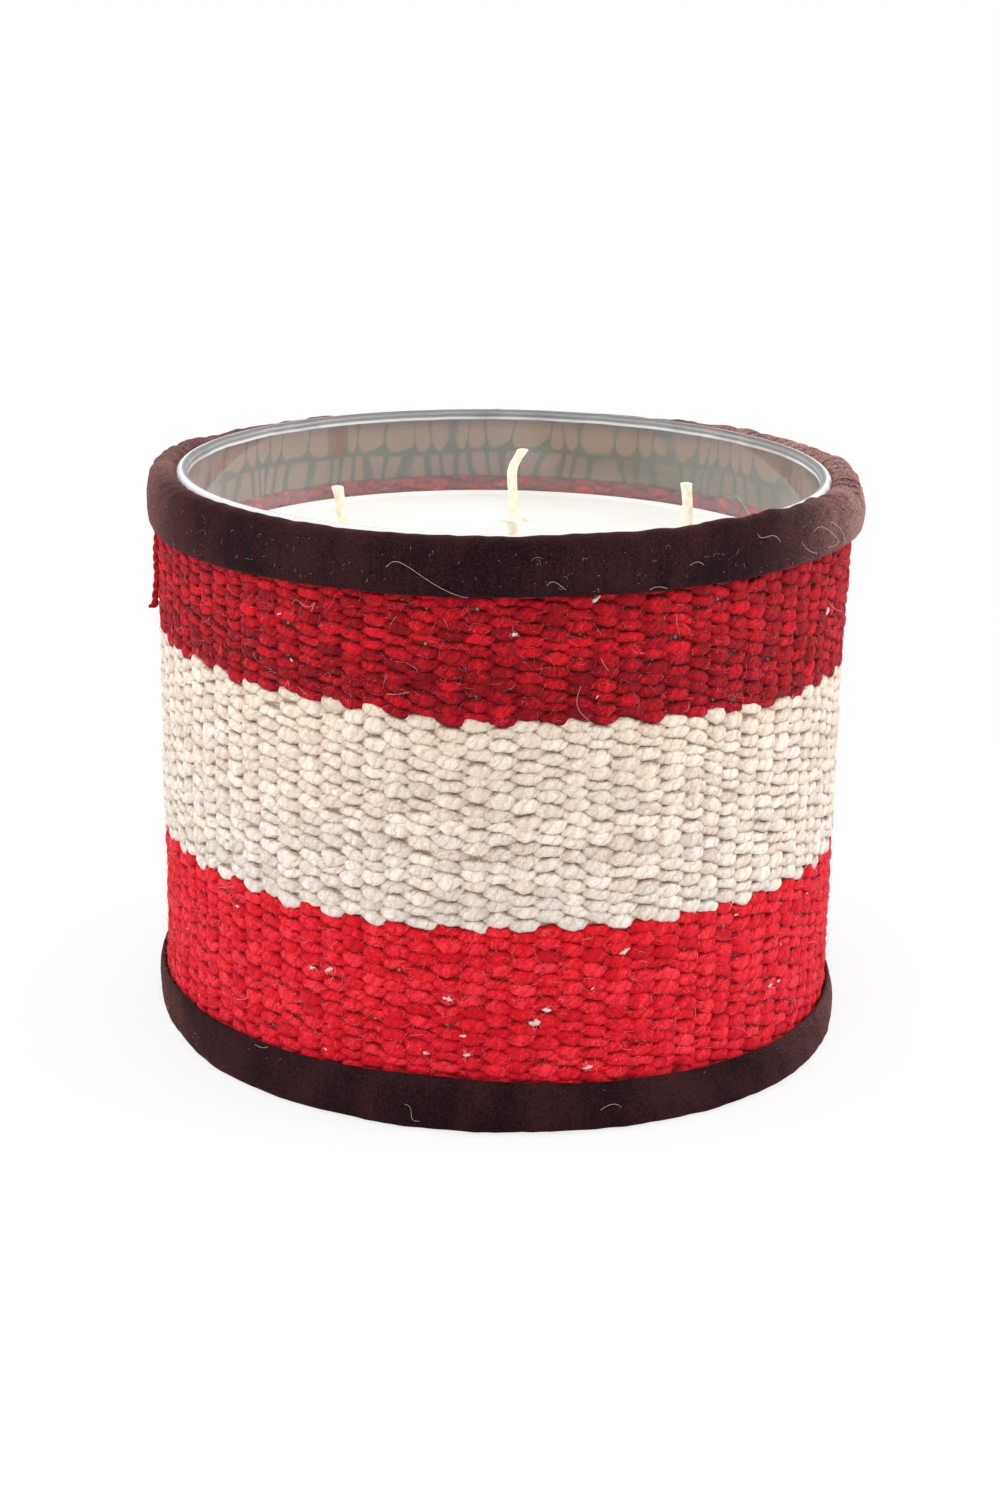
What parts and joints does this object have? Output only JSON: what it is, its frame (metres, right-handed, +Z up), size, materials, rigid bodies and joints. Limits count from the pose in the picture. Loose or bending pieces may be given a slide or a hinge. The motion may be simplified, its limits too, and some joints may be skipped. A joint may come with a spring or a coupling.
{
  "type": "candle",
  "caption": "Large multi-wick container candle: clear straight glass, pale wax, braided wicks, and a slip-on hand-woven wool sleeve in three bands, edged with dark velvet.",
  "frame": {"origin": "centre of the glass's resting ring, on the table", "axes": "+Z up along the vessel's axis; the front of the candle faces -Y, and the sleeve's seam is on the left, at -X"},
  "size_m": [0.1918, 0.1918, 0.1524],
  "materials": {
    "glass": "clear, polished, with a fire-polished rim",
    "wax": "smooth poured soy-blend wax, satin",
    "wick_braid": "waxed cotton braid",
    "tab_metal": "tin-plated pressed steel",
    "glue": "hot-melt glue, satin",
    "crimson_wool": "hand-woven, weft-faced wool, matte",
    "cream_wool": "hand-woven, weft-faced undyed wool, matte",
    "scarlet_wool": "hand-woven, weft-faced wool, matte",
    "velvet": "cotton velvet, short pile with a soft sheen",
    "lacing_thread": "waxed linen thread, matte"
  },
  "bodies": {
    "candle": {"glass_vessel": "glass", "wax_fill": "wax", "wick_left": "wick_braid", "wick_right": "wick_braid", "wick_back": "wick_braid", "wick_front": "wick_braid", "wick_tab_left": "tab_metal", "wick_tab_right": "tab_metal", "wick_tab_back": "tab_metal", "wick_tab_front": "tab_metal", "tab_glue_left": "glue", "tab_glue_right": "glue", "tab_glue_back": "glue", "tab_glue_front": "glue"},
    "sleeve": {"crimson_band": "crimson_wool", "cream_band": "cream_wool", "scarlet_band": "scarlet_wool", "top_binding": "velvet", "bottom_binding": "velvet", "seam_lacing": "lacing_thread", "yarn_tail": "crimson_wool"}
  },
  "joints": [
    {"name": "sleeve_lift", "type": "slide", "parent": "candle", "child": "sleeve", "axis": [0, 0, 1], "range_m": [0, 0.155]}
  ]
}
